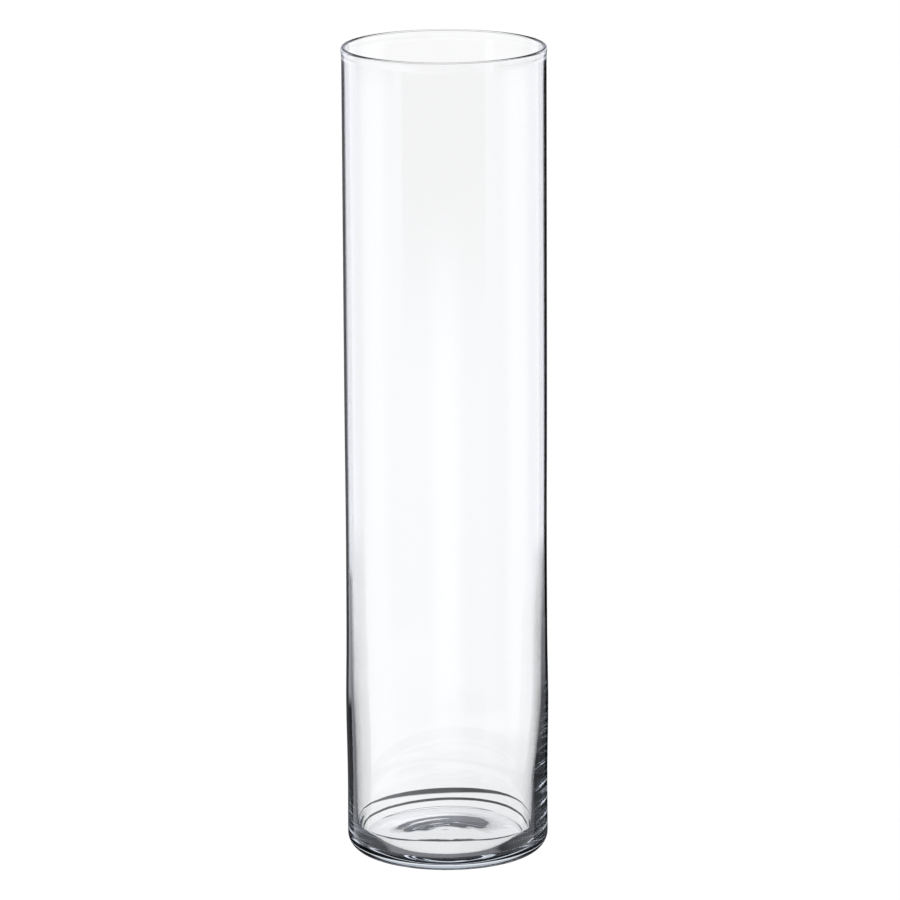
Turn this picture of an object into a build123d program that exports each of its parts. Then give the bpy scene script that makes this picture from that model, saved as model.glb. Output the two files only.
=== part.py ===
from build123d import *

import os

# A tall cylinder vase of clear blown glass, used by florists for long stems, branches and floating
# candles. It is one piece of glass: a straight outer wall with a fire-polished bead at the mouth, a wall
# that thickens towards the foot, a heavy base with a rounded heel, and a pushed-up underside, so that the
# vase stands on a narrow ring.
#
# Sizes are millimetres. The origin is the centre of the ring that the vase stands on, and +Z is up.
# The whole solid is one profile in the plane of radius and height, turned about Z.

# Overall
HEIGHT = 600.0
OUTER_DIAMETER = 148.0

# Mouth
WALL = 2.6  # glass thickness of the straight part
BEAD_OVERHANG = 0.4  # how far the fire-polished lip swells out past the outer wall
BEAD_INSET = 0.3  # how far it swells in past the inner wall
BEAD_RUN = 7.0  # height over which the wall swells into the lip

# Lower wall
TAPER_TOP = 250.0  # the inside starts to close in below this height
FOOT_WALL = 8.7  # glass thickness where the wall meets the inner corner
CORNER_HEIGHT = 14.0  # height of the inner corner, from the floor to the wall
CORNER_REACH = 7.5  # width of the inner corner, from the wall to the floor
CREASE = 3.0  # how softly the corner's slope runs into the wall and into the floor

# Base
FLOOR = 9.5  # height of the inner floor where the corner ends
FLOOR_CROWN = 1.6  # how much higher the floor is at the middle
HEEL = 12.0  # outer radius between wall and underside
STANDING_RING = 6.5  # width of the flat ring that the vase stands on
KICK = 4.4  # height of the underside's dome at the middle


def lip(outer, inner, straight_top):
    """The bead at the mouth, from the outer wall up, over and down to the inner wall."""
    bead_outer = outer + BEAD_OVERHANG
    bead_inner = inner - BEAD_INSET
    centre_height = straight_top + BEAD_RUN
    middle = straight_top + BEAD_RUN / 2
    top = ((bead_outer + bead_inner) / 2, HEIGHT)
    return [
        Bezier(
            (outer, straight_top),
            (outer, middle),
            (bead_outer, middle),
            (bead_outer, centre_height),
        ),
        ThreePointArc((bead_outer, centre_height), top, (bead_inner, centre_height)),
        Bezier(
            (bead_inner, centre_height),
            (bead_inner, middle),
            (inner, middle),
            (inner, straight_top),
        ),
    ]


def inside(inner, corner_radius, straight_top):
    """The inner surface below the lip: straight wall, closing wall, corner and floor."""
    corner_top = FLOOR + CORNER_HEIGHT
    closing_middle = (TAPER_TOP + corner_top) / 2
    # The closing wall arrives along this slope, and the corner leaves it along the same one.
    slope = (inner - corner_radius) / (closing_middle - corner_top)
    wall_crease = (corner_radius - slope * CREASE, corner_top - CREASE)
    floor_radius = corner_radius - CORNER_REACH
    floor_edge = (floor_radius, FLOOR)
    floor_crease = (floor_radius + CREASE, FLOOR)
    crown_height = FLOOR + FLOOR_CROWN
    return [
        Line((inner, straight_top), (inner, TAPER_TOP)),
        Bezier((inner, TAPER_TOP), (inner, closing_middle), (corner_radius, corner_top)),
        Bezier((corner_radius, corner_top), wall_crease, floor_crease, floor_edge),
        Bezier(floor_edge, (floor_radius / 2, FLOOR), (floor_radius / 2, crown_height), (0, crown_height)),
    ]


def underside(outer):
    """The underside from the axis outwards: dome, standing ring and heel."""
    ring_outer = outer - HEEL
    ring_inner = ring_outer - STANDING_RING
    dome_middle = ring_inner / 2
    heel_middle = Vector(ring_outer, HEEL) + Vector(HEEL, 0).rotate(Axis.Z, -45)
    return [
        Bezier((0, KICK), (dome_middle, KICK), (dome_middle, 0), (ring_inner, 0)),
        Line((ring_inner, 0), (ring_outer, 0)),
        ThreePointArc((ring_outer, 0), heel_middle, (outer, HEEL)),
    ]


def vase_body():
    """The whole vase: one closed profile, turned about the Z axis."""
    outer = OUTER_DIAMETER / 2
    inner = outer - WALL
    corner_radius = outer - FOOT_WALL
    bead = BEAD_OVERHANG + WALL + BEAD_INSET
    straight_top = HEIGHT - bead / 2 - BEAD_RUN
    edges = underside(outer)
    edges.append(Line((outer, HEEL), (outer, straight_top)))
    edges += lip(outer, inner, straight_top)
    edges += inside(inner, corner_radius, straight_top)
    edges.append(Line((0, FLOOR + FLOOR_CROWN), (0, KICK)))
    profile = Plane.XZ * make_face(edges)
    return revolve(profile, Axis.Z)


os.makedirs("parts", exist_ok=True)
body = vase_body()
export_step(body, "parts/vase_body.step")
print("vase_body volume cm3", round(body.volume / 1000, 1))
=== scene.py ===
"""The looks of a tall cylinder vase of clear blown glass, in a plain studio.

The vase is one piece of glass. Its surface is worked out here as one closed turned skin with the small
unevenness of hand-blown glass: a slight waist and belly, a wall that is a little thicker on one side of
the foot, and the rings left in the base when it was pushed up. Lengths are metres, +Z is up, and the
origin is the centre of the ring that the vase stands on.
"""

import logging
import math
from dataclasses import dataclass, field
from enum import Enum
from math import comb
from typing import Any

import bpy
import numpy as np
from mathutils import Euler, Matrix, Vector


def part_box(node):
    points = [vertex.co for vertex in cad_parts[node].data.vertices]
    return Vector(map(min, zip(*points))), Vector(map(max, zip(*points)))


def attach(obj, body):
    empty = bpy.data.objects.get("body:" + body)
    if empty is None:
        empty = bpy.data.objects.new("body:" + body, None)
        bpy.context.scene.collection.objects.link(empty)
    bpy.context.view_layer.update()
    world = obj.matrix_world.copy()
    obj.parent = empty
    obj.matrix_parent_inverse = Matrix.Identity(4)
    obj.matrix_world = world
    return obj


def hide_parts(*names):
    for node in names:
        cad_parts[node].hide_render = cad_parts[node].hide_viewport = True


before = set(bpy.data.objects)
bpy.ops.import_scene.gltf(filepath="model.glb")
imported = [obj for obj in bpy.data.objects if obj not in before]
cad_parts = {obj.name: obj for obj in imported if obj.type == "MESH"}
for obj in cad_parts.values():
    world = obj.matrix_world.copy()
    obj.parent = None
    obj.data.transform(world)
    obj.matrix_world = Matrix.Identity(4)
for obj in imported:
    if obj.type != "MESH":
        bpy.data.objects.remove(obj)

log = logging.getLogger("vase")
MM = 0.001


class Operation(Enum):
    """A sum that a Math node can do."""

    ADD = "ADD"
    SUBTRACT = "SUBTRACT"
    MULTIPLY = "MULTIPLY"
    MODULO = "FLOORED_MODULO"
    ABSOLUTE = "ABSOLUTE"
    LESS_THAN = "LESS_THAN"
    LARGER = "MAXIMUM"
    ARC_SINE = "ARCSINE"
    ARC_TANGENT = "ARCTAN2"


class Socket:
    """One output of a shader node, which can be used in Python arithmetic."""

    def __init__(self, graph: "Graph", link: Any) -> None:
        """Keeps the graph that the output belongs to, and the output.

        Args:
            graph: the node graph.
            link: the node's output socket.
        """
        self.graph = graph
        self.link = link

    def _math(self, operation: Operation, *values: Any) -> "Socket":
        """Adds a Math node.

        Args:
            operation: the sum that it does.
            values: its inputs, in order.

        Returns:
            The node's result.
        """
        return self.graph.sum(operation, *values)

    def __add__(self, other: Any) -> "Socket":
        """self + other."""
        return self._math(Operation.ADD, self, other)

    def __radd__(self, other: Any) -> "Socket":
        """other + self."""
        return self._math(Operation.ADD, other, self)

    def __sub__(self, other: Any) -> "Socket":
        """self - other."""
        return self._math(Operation.SUBTRACT, self, other)

    def __rsub__(self, other: Any) -> "Socket":
        """other - self."""
        return self._math(Operation.SUBTRACT, other, self)

    def __mul__(self, other: Any) -> "Socket":
        """self * other."""
        return self._math(Operation.MULTIPLY, self, other)

    def __rmul__(self, other: Any) -> "Socket":
        """other * self."""
        return self._math(Operation.MULTIPLY, other, self)

    def __mod__(self, other: Any) -> "Socket":
        """self modulo other, never negative."""
        return self._math(Operation.MODULO, self, other)

    def __abs__(self) -> "Socket":
        """The size of self."""
        return self._math(Operation.ABSOLUTE, self)

    def less_than(self, other: Any) -> "Socket":
        """1 where self is under other, or else 0."""
        return self._math(Operation.LESS_THAN, self, other)

    def either(self, other: Any) -> "Socket":
        """The larger of self and other."""
        return self._math(Operation.LARGER, self, other)


class Graph:
    """The node graph of a material or a world."""

    def __init__(self, tree: Any) -> None:
        """Empties the graph.

        Args:
            tree: the node tree of a material or world.
        """
        self.tree = tree
        tree.nodes.clear()

    def add(self, kind: str, settings: dict[str, Any], inputs: dict[Any, Any]) -> Any:
        """Adds a node of any type.

        Args:
            kind: the node's type.
            settings: its settings, which are set before its sockets.
            inputs: the value or link of each socket, by name or number.

        Returns:
            The Blender node.
        """
        made = self.tree.nodes.new(kind)
        for name, value in settings.items():
            setattr(made, name, value)
        for name, value in inputs.items():
            if isinstance(value, Socket):
                self.tree.links.new(value.link, made.inputs[name])
            else:
                made.inputs[name].default_value = value
        return made

    def node(self, kind: str, settings: dict[str, Any], inputs: dict[Any, Any], output: Any = 0) -> Socket:
        """Adds a node of any type and takes one of its outputs.

        Args:
            kind: the node's type.
            settings: its settings.
            inputs: the value or link of each socket, by name or number.
            output: the name or number of the output that is wanted.

        Returns:
            That output.
        """
        return Socket(self, self.add(kind, settings, inputs).outputs[output])

    def sum(self, operation: Operation, *values: Any) -> Socket:
        """Adds a Math node.

        Args:
            operation: the sum that it does.
            values: its inputs, in order.

        Returns:
            The node's result.
        """
        return self.node("ShaderNodeMath", {"operation": operation.value}, dict(enumerate(values)))

    def split(self, vector: Socket) -> tuple[Socket, Socket, Socket]:
        """The X, Y and Z of a vector."""
        made = self.add("ShaderNodeSeparateXYZ", {}, {0: vector})
        return tuple(Socket(self, made.outputs[i]) for i in range(3))

    def ease(self, value: Socket, start: float, end: float) -> Socket:
        """A smooth ramp.

        The result is t t (3 - 2 t), where t is how far the value is from start to end, from 0 to 1.

        Args:
            value: what the ramp follows.
            start: where the ramp is 0.
            end: where the ramp is 1.

        Returns:
            The ramp.
        """
        settings = {"interpolation_type": "SMOOTHSTEP"}
        inputs = {"Value": value, "From Min": start, "From Max": end}
        return self.node("ShaderNodeMapRange", settings, inputs)

    def noise(self, at: Socket, scale: float, detail: float) -> Socket:
        """Fractal noise.

        Args:
            at: the point where it is read.
            scale: lumps per unit of length.
            detail: octaves.

        Returns:
            The noise, about 0.5.
        """
        return self.node("ShaderNodeTexNoise", {}, {"Vector": at, "Scale": scale, "Detail": detail})


@dataclass(frozen=True)
class ClearGlass:
    """Clear blown glass: fire-polished, with faint draw lines, a faint cool cast and a scuffed foot."""

    ring_radius: float
    index: float = 1.5
    cast: tuple[float, float, float] = (0.8, 0.88, 0.94)
    depth: float = 5.0
    draw_lines: float = 0.00004
    lines_across: float = 95.0
    lines_along: float = 2.5
    ring_reach: float = 4.0 * MM
    ring_height: float = 0.4 * MM
    scuffs: float = 0.22

    def make(self) -> bpy.types.Material:
        """Makes the finish.

        Roughness is nothing but on the standing ring, where it is a mask of radius and height times
        fine noise. The bump is noise stretched along the vase, which gives the draw lines.

        Returns:
            The material.
        """
        material = bpy.data.materials.new("clear_blown_glass")
        material.use_nodes = True
        graph = Graph(material.node_tree)
        point = graph.node("ShaderNodeTexCoord", {}, {}, "Object")
        scaled = {"Scale": (self.lines_across, self.lines_across, self.lines_along)}
        stretched = graph.node("ShaderNodeMapping", {}, {"Vector": point, **scaled})
        lines = graph.noise(stretched, 1.0, 1.0)
        relief = {"Strength": 1.0, "Distance": self.draw_lines, "Height": lines}
        bump = graph.node("ShaderNodeBump", {}, relief)
        shader = graph.node(
            "ShaderNodeBsdfPrincipled",
            {},
            {
                "Base Color": (1.0, 1.0, 1.0, 1.0),
                "Roughness": self._scuffing(graph, point),
                "IOR": self.index,
                "Transmission Weight": 1.0,
                "Normal": bump,
            },
        )
        inside = graph.node(
            "ShaderNodeVolumeAbsorption", {}, {"Color": (*self.cast, 1.0), "Density": self.depth}
        )
        graph.add("ShaderNodeOutputMaterial", {}, {"Surface": shader, "Volume": inside})
        return material

    def _scuffing(self, graph: Graph, point: Socket) -> Socket:
        """Roughness of the standing ring's fine scratches, and none elsewhere.

        Args:
            graph: the material's graph.
            point: the point on the piece.

        Returns:
            The roughness.
        """
        across, back, up = graph.split(point)
        flat = graph.node("ShaderNodeCombineXYZ", {}, {"X": across, "Y": back})
        radius = graph.node("ShaderNodeVectorMath", {"operation": "LENGTH"}, {0: flat}, "Value")
        near = 1 - graph.ease(abs(radius - self.ring_radius), 0.5 * self.ring_reach, self.ring_reach)
        low = 1 - graph.ease(up, 0.3 * self.ring_height, self.ring_height)
        worn = graph.noise(point, 1400.0, 3.0)
        return near * low * worn * self.scuffs


def curve(*points: tuple[float, float], steps: int) -> np.ndarray:
    """Points along a Bezier curve.

    Each is the sum of the control points weighted by the Bernstein terms
    n over i times (1 - t) to the n - i times t to the i.

    Args:
        points: the control points, as radius and height.
        steps: how many points, from the first up to but without the last.

    Returns:
        The points, one a row.
    """
    t = np.arange(steps)[:, None] / steps
    n = len(points) - 1
    weights = np.hstack([comb(n, i) * (1 - t) ** (n - i) * t**i for i in range(n + 1)])
    return weights @ np.array(points)


def arc(centre: tuple[float, float], radius: float, start: float, end: float, steps: int) -> np.ndarray:
    """Points along a circular arc: the centre plus the radius times cosine and sine of the angle.

    Args:
        centre: radius and height of its centre.
        radius: its own radius.
        start: first angle, in degrees from the outward direction, upwards.
        end: last angle.
        steps: how many points, from the first up to but without the last.

    Returns:
        The points, one a row.
    """
    angle = np.radians(start + (end - start) * np.arange(steps) / steps)[:, None]
    return np.array(centre) + radius * np.hstack([np.cos(angle), np.sin(angle)])


@dataclass(frozen=True)
class Swell:
    """A smooth bulge or hollow at one height of the vase."""

    amount: float
    middle: float
    reach: float

    def at(self, height: np.ndarray) -> np.ndarray:
        """How far it stands out.

        This is the amount times e to the minus square of the distance from the middle over the reach.

        Args:
            height: heights on the vase.

        Returns:
            The distance out, for each height.
        """
        return self.amount * np.exp(-(((height - self.middle) / self.reach) ** 2))


@dataclass
class BlownVase:
    """The whole vase, one closed skin of glass."""

    height: float
    rim_radius: float
    overhang: float = 0.4 * MM
    wall: float = 2.6 * MM
    inset: float = 0.3 * MM
    bead_run: float = 7.0 * MM
    taper_top: float = 250.0 * MM
    foot_wall: float = 8.7 * MM
    corner_height: float = 14.0 * MM
    corner_reach: float = 7.5 * MM
    crease: float = 3.0 * MM
    floor: float = 9.5 * MM
    crown: float = 1.6 * MM
    heel: float = 12.0 * MM
    ring: float = 6.5 * MM
    kick: float = 4.4 * MM
    waist: Swell = Swell(-0.33 * MM, 235.0 * MM, 65.0 * MM)
    belly: Swell = Swell(0.62 * MM, 112.0 * MM, 30.0 * MM)
    dip: Swell = Swell(-0.2 * MM, 50.0 * MM, 22.0 * MM)
    lean: Swell = Swell(-1.5 * MM, 25.0 * MM, 45.0 * MM)
    twist: float = 2.2
    ripple_height: float = 0.3 * MM
    ripple_spacing: float = 12.0 * MM
    ripple_middle: tuple[float, float] = (-18.0 * MM, 32.0 * MM)
    ripple_reach: tuple[float, float] = (30.0 * MM, 22.0 * MM)
    heel_steps: int = 18
    around: int = 360
    outer: float = field(init=False)
    inner: float = field(init=False)
    straight_top: float = field(init=False)

    def __post_init__(self) -> None:
        """Works out the radii of the straight wall and where it ends."""
        self.outer = self.rim_radius - self.overhang
        self.inner = self.outer - self.wall
        bead = self.overhang + self.wall + self.inset
        self.straight_top = self.height - bead / 2 - self.bead_run

    @property
    def standing_radius(self) -> float:
        """The radius of the middle of the ring that the vase stands on."""
        return self.outer - self.heel - self.ring / 2

    def underside(self) -> np.ndarray:
        """The underside from near the axis outwards: dome, standing ring and heel.

        Returns:
            Points as radius and height.
        """
        ring_outer = self.outer - self.heel
        ring_inner = ring_outer - self.ring
        middle = ring_inner / 2
        return np.vstack(
            [
                curve((0, self.kick), (middle, self.kick), (middle, 0), (ring_inner, 0), steps=66)[1:],
                curve((ring_inner, 0), (ring_outer, 0), steps=5),
                arc((ring_outer, self.heel), self.heel, -90, 0, self.heel_steps),
            ]
        )

    def outside(self) -> np.ndarray:
        """The outer wall and the lip's outer half.

        Returns:
            Points as radius and height, going up.
        """
        middle = self.straight_top + self.bead_run / 2
        centre = self.straight_top + self.bead_run
        rim = self.rim_radius
        low = (self.outer, self.heel)
        high = (self.outer, self.straight_top)
        return np.vstack(
            [
                curve(low, high, steps=34),
                curve(high, (self.outer, middle), (rim, middle), (rim, centre), steps=9),
            ]
        )

    def mouth(self) -> np.ndarray:
        """The round top of the lip, and its inner half down to the straight wall.

        Returns:
            Points as radius and height.
        """
        inner = self.inner - self.inset
        middle = self.straight_top + self.bead_run / 2
        centre = self.straight_top + self.bead_run
        bead = (self.rim_radius - inner) / 2
        wall_top = (self.inner, self.straight_top)
        return np.vstack(
            [
                arc((inner + bead, centre), bead, 0, 180, 18),
                curve((inner, centre), (inner, middle), (self.inner, middle), wall_top, steps=9),
            ]
        )

    def inside(self) -> np.ndarray:
        """The inner wall, the corner and the floor, down and inwards.

        Returns:
            Points as radius and height.
        """
        corner = self.outer - self.foot_wall
        corner_top = self.floor + self.corner_height
        middle = (self.taper_top + corner_top) / 2
        slope = (self.inner - corner) / (middle - corner_top)
        edge = (corner - self.corner_reach, self.floor)
        wall_crease = (corner - slope * self.crease, corner_top - self.crease)
        floor_crease = (edge[0] + self.crease, self.floor)
        top = self.floor + self.crown
        return np.vstack(
            [
                curve((self.inner, self.straight_top), (self.inner, self.taper_top), steps=16),
                curve((self.inner, self.taper_top), (self.inner, middle), (corner, corner_top), steps=26),
                curve((corner, corner_top), wall_crease, floor_crease, edge, steps=24),
                curve(edge, (edge[0] / 2, self.floor), (edge[0] / 2, top), (0, top), steps=52),
            ]
        )

    def skin(self) -> np.ndarray:
        """The profile turned about Z, made uneven as blown glass is.

        A point is its radius times cosine and sine of its turn. The wall stands in and out with its
        swells, the inside is shifted along X by the lean, and the underside is raised by its push.

        Returns:
            The points, shaped as profile rows by turns by X, Y and Z.
        """
        underside = self.underside()
        out = np.vstack([underside, self.outside()])
        profile = np.vstack([out, self.mouth(), self.inside()])
        turn = 2 * np.pi * np.arange(self.around) / self.around
        row = np.arange(len(profile))[:, None]
        radius, height = (profile[:, i, None] * np.ones(self.around) for i in range(2))
        swell = self.waist.at(height) + self.belly.at(height) + self.dip.at(height)
        radius = radius + swell * (radius > self.outer - self.heel)
        shift = self.lean.at(height) * (row >= len(out))
        x, y = radius * np.cos(turn) + shift, radius * np.sin(turn)
        height = height + self._push(x, y) * (row < len(underside) - self.heel_steps)
        return np.stack([x, y, height], axis=2)

    def _push(self, x: np.ndarray, y: np.ndarray) -> np.ndarray:
        """How much higher the underside is where the glass was pushed up unevenly.

        This is the twist times x times y on the back half, times the square of the fade, plus the
        ripples times the fade. The fade is 1 minus the square of the radius over the dome's. The
        ripples are a cosine of the radius inside a bell on the left of the back.

        Args:
            x: how far across each point is.
            y: how far back each point is.

        Returns:
            The height to add at each point.
        """
        reach = self.outer - self.heel - self.ring
        fade = np.clip(1 - (x**2 + y**2) / reach**2, 0, 1)
        back = np.clip(y / reach, 0, 1) ** 0.5
        away = ((x - self.ripple_middle[0]) / self.ripple_reach[0]) ** 2
        away = away + ((y - self.ripple_middle[1]) / self.ripple_reach[1]) ** 2
        ripples = self.ripple_height * np.cos(2 * np.pi * np.hypot(x, y) / self.ripple_spacing)
        return fade**2 * self.twist * x * y * back + fade * ripples * np.exp(-away)

    def build(self) -> bpy.types.Object:
        """Makes the skin one closed mesh, with a point at each end of the profile.

        Returns:
            The vase, at the origin.
        """
        points = self.skin()
        rows, turns = points.shape[:2]
        low = [0.0, 0.0, self.kick]
        high = [0.0, 0.0, self.floor + self.crown]
        vertices = np.vstack([points.reshape(-1, 3), [low, high]])
        row, turn = np.meshgrid(np.arange(rows - 1), np.arange(turns), indexing="ij")
        ahead = (turn + 1) % turns
        first, second = row * turns, (row + 1) * turns
        corners = [first + turn, first + ahead, second + ahead, second + turn]
        quads = np.stack([c.ravel() for c in corners], axis=1)
        here, then = np.arange(turns), (np.arange(turns) + 1) % turns
        end = (rows - 1) * turns
        start_fan = np.stack([np.full(turns, rows * turns), then, here], axis=1)
        end_fan = np.stack([np.full(turns, rows * turns + 1), end + here, end + then], axis=1)
        mesh = bpy.data.meshes.new("vase_glass")
        mesh.from_pydata(vertices, [], [*quads.tolist(), *start_fan.tolist(), *end_fan.tolist()])
        mesh.shade_smooth()
        vase = bpy.data.objects.new("vase_glass", mesh)
        bpy.context.scene.collection.objects.link(vase)
        return vase

    def dress(self, vase: bpy.types.Object, glass: ClearGlass) -> None:
        """Gives the vase its finish and its place in the frame.

        Args:
            vase: the built vase.
            glass: its finish.
        """
        vase.data.materials.append(glass.make())
        vase.visible_shadow = False
        vase.visible_diffuse = False
        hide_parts("vase_body")
        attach(vase, "root")


@dataclass(frozen=True)
class Patch:
    """A panel or a black card in the room, as the glass reflects it, by its direction from the vase."""

    turn: float
    half: float
    low: float
    high: float
    light: float
    soft: float = 2.0
    fade: float = 2.0

    def over(self, graph: Graph, turn: Socket, up: Socket, level: Socket | float) -> Socket:
        """Hangs the patch in front of what was there.

        The mask is how far the turn is from the patch's middle, eased to 0 past its half width, times
        the same for the height angle. The level is mixed towards the patch's light by that mask.

        Args:
            graph: the world's graph.
            turn: the direction's turn in degrees, from the back towards +X.
            up: the direction's angle over the horizon, in degrees.
            level: the light that was there.

        Returns:
            The light now.
        """
        off = abs((turn - (self.turn - 180.0)) % 360.0 - 180.0)
        mask = 1 - graph.ease(off, self.half, self.half + self.soft)
        if self.low > -90.0:
            mask = mask * graph.ease(up, self.low - self.fade, self.low)
        if self.high < 90.0:
            mask = mask * (1 - graph.ease(up, self.high, self.high + self.fade))
        return level + mask * (self.light - level)


@dataclass
class Backdrop:
    """The plain white floor and the room round it.

    Seen straight, all is even white. Seen through the glass it is white too, but for a dark ceiling and a
    dark strip low behind the vase. The light that the glass turns back comes
    from a room with bright panels and black cards, as glass is lit in a studio, so that its edges show
    dark on white.
    """

    floor_reach: float = 60.0
    floor_colour: tuple[float, float, float] = (0.96, 0.96, 0.96)
    white: float = 1.06
    screen: float = 1.0
    room_tint: tuple[float, float, float] = (0.9, 0.92, 1.0)
    room_light: float = 0.62
    ceiling_low: float = 25.0
    ceiling_high: float = 35.0
    ceiling_light: float = 0.03
    gap: Patch = Patch(turn=0, half=22, low=-28, high=-25, light=0.08, soft=10, fade=1)
    patches: tuple[Patch, ...] = (
        # Tall panels to the left and right of the camera.
        Patch(turn=-105, half=24, low=-90, high=90, light=1.0, soft=30),
        Patch(turn=110, half=30, low=-90, high=90, light=1.1, soft=30),
        # A long low panel behind the camera, under a grey card that greys the top of the vase's front.
        Patch(turn=180, half=65, low=-24, high=-12, light=1.15, soft=10),
        Patch(turn=-170.5, half=39.5, low=-10.3, high=90, light=0.4, soft=1, fade=2.5),
        # The dark upper room, and the panels behind the vase that show in its thick base.
        Patch(turn=0, half=180, low=9, high=90, light=0.03, fade=4),
        Patch(turn=0, half=30, low=-22, high=22, light=0.7, soft=15, fade=2),
        Patch(turn=0, half=45, low=-22, high=6, light=1.1, soft=15, fade=2),
        # Black cards below, which darken the thick foot, its right wall most.
        Patch(turn=22, half=36, low=-26, high=-15.2, light=0.1, soft=6, fade=1),
        Patch(turn=0, half=180, low=-90, high=-26, light=0.03, fade=4),
        Patch(turn=0, half=180, low=-90, high=-52, light=0.2, fade=6),
        # Black cards on each side behind the vase, which draw its edges dark.
        Patch(turn=-22, half=16, low=-20, high=-15.7, light=0.05, fade=0.5),
        Patch(turn=-14, half=12, low=-16.9, high=-6, light=0.10, fade=0.2),
        Patch(turn=14, half=12, low=-16.9, high=-6, light=0.01, fade=0.2),
        # The same edges from the back and from each side.
        Patch(turn=135, half=20, low=-19, high=-8, light=0.4, soft=20),
        Patch(turn=-45, half=29, low=-31, high=-19, light=0.02),
        Patch(turn=-90, half=29, low=-8, high=3, light=0.02),
    )

    def floor(self) -> bpy.types.Object:
        """Makes the floor: one flat square at height 0.

        Returns:
            The floor.
        """
        r = self.floor_reach
        mesh = bpy.data.meshes.new("floor")
        mesh.from_pydata([(-r, -r, 0), (r, -r, 0), (r, r, 0), (-r, r, 0)], [], [(0, 1, 2, 3)])
        floor = bpy.data.objects.new("floor", mesh)
        bpy.context.scene.collection.objects.link(floor)
        material = bpy.data.materials.new("white_floor")
        material.use_nodes = True
        graph = Graph(material.node_tree)
        matt = graph.node("ShaderNodeBsdfDiffuse", {}, {"Color": (*self.floor_colour, 1.0)})
        graph.add("ShaderNodeOutputMaterial", {}, {"Surface": matt})
        mesh.materials.append(material)
        floor.visible_transmission = False
        floor.visible_glossy = False
        return floor

    def room(self) -> None:
        """Makes the light that comes from all round.

        A look that meets no glass sees even white, and so does the floor. A look that goes straight
        through the glass sees the white screen with its dark strip, and the dark ceiling. A look that the
        glass turns back sees the room's light with the patches hung in it, and the same ceiling.
        """
        world = bpy.data.worlds.new("studio")
        world.use_nodes = True
        bpy.context.scene.world = world
        graph = Graph(world.node_tree)
        across, ahead, up = graph.split(graph.node("ShaderNodeTexCoord", {}, {}, "Generated"))
        degrees = math.degrees(1.0)
        turn = graph.sum(Operation.ARC_TANGENT, across, ahead) * degrees
        rise = graph.sum(Operation.ARC_SINE, up) * degrees
        level = self.room_light
        for patch in self.patches:
            level = patch.over(graph, turn, rise, level)
        looks = graph.add("ShaderNodeLightPath", {}, {})
        kinds = ("Diffuse Depth", "Glossy Depth", "Transmission Depth")
        lit, turned, passed = (Socket(graph, looks.outputs[kind]) for kind in kinds)
        plain = (turned + passed).less_than(0.5).either(1 - lit.less_than(0.5))
        through = turned.less_than(0.5)
        ceiling = graph.ease(rise, self.ceiling_low, self.ceiling_high)
        screen = self.gap.over(graph, turn, rise, self.screen)
        screen = screen + ceiling * (self.ceiling_light - screen)
        level = level + ceiling * (self.ceiling_light - level)
        behind_glass = level + through * (screen - level)
        strength = behind_glass + plain * (self.white - behind_glass)
        white = (1.0, 1.0, 1.0, 1.0)
        settings = {"data_type": "RGBA"}
        tint = {"Factor": through.either(plain), 6: (*self.room_tint, 1.0), 7: white}
        colour = graph.node("ShaderNodeMix", settings, tint, 2)
        light = graph.node("ShaderNodeBackground", {}, {"Color": colour, "Strength": strength})
        graph.add("ShaderNodeOutputWorld", {}, {"Surface": light})


@dataclass
class Viewpoint:
    """The camera, far off and a little above, aimed down at the vase."""

    distance: float = 4.38
    height: float = 1.3355
    down: float = 13.29
    aside: float = 0.0390
    roll: float = -0.29
    lens: float = 246.3

    def place(self) -> None:
        """Makes the camera and makes it the scene's own."""
        data = bpy.data.cameras.new("camera")
        data.lens = self.lens
        data.sensor_width = 36.0
        data.clip_start, data.clip_end = 0.1, 200.0
        camera = bpy.data.objects.new("camera", data)
        aim = Euler((math.radians(90 - self.down), 0, -math.radians(self.aside))).to_matrix().to_4x4()
        lean = Matrix.Rotation(math.radians(self.roll), 4, "Z")
        camera.matrix_world = Matrix.Translation((0, -self.distance, self.height)) @ aim @ lean
        bpy.context.scene.collection.objects.link(camera)
        bpy.context.scene.camera = camera


def main() -> None:
    """Builds the camera, the studio and the vase, in that order."""
    logging.basicConfig(level=logging.INFO, format="%(message)s")
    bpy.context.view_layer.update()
    scene = bpy.context.scene
    scene.view_settings.view_transform = "Standard"
    scene.view_settings.look = "None"
    scene.cycles.max_bounces = 32
    scene.cycles.glossy_bounces = 24
    scene.cycles.transmission_bounces = 24
    Viewpoint().place()
    backdrop = Backdrop()
    backdrop.floor()
    backdrop.room()
    low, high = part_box("vase_body")
    vase = BlownVase(height=high.z - low.z, rim_radius=(high.x - low.x) / 2)
    piece = vase.build()
    vase.dress(piece, ClearGlass(ring_radius=vase.standing_radius))
    log.info("%s: %d faces", piece.name, len(piece.data.polygons))


if __name__ == "__main__":
    main()
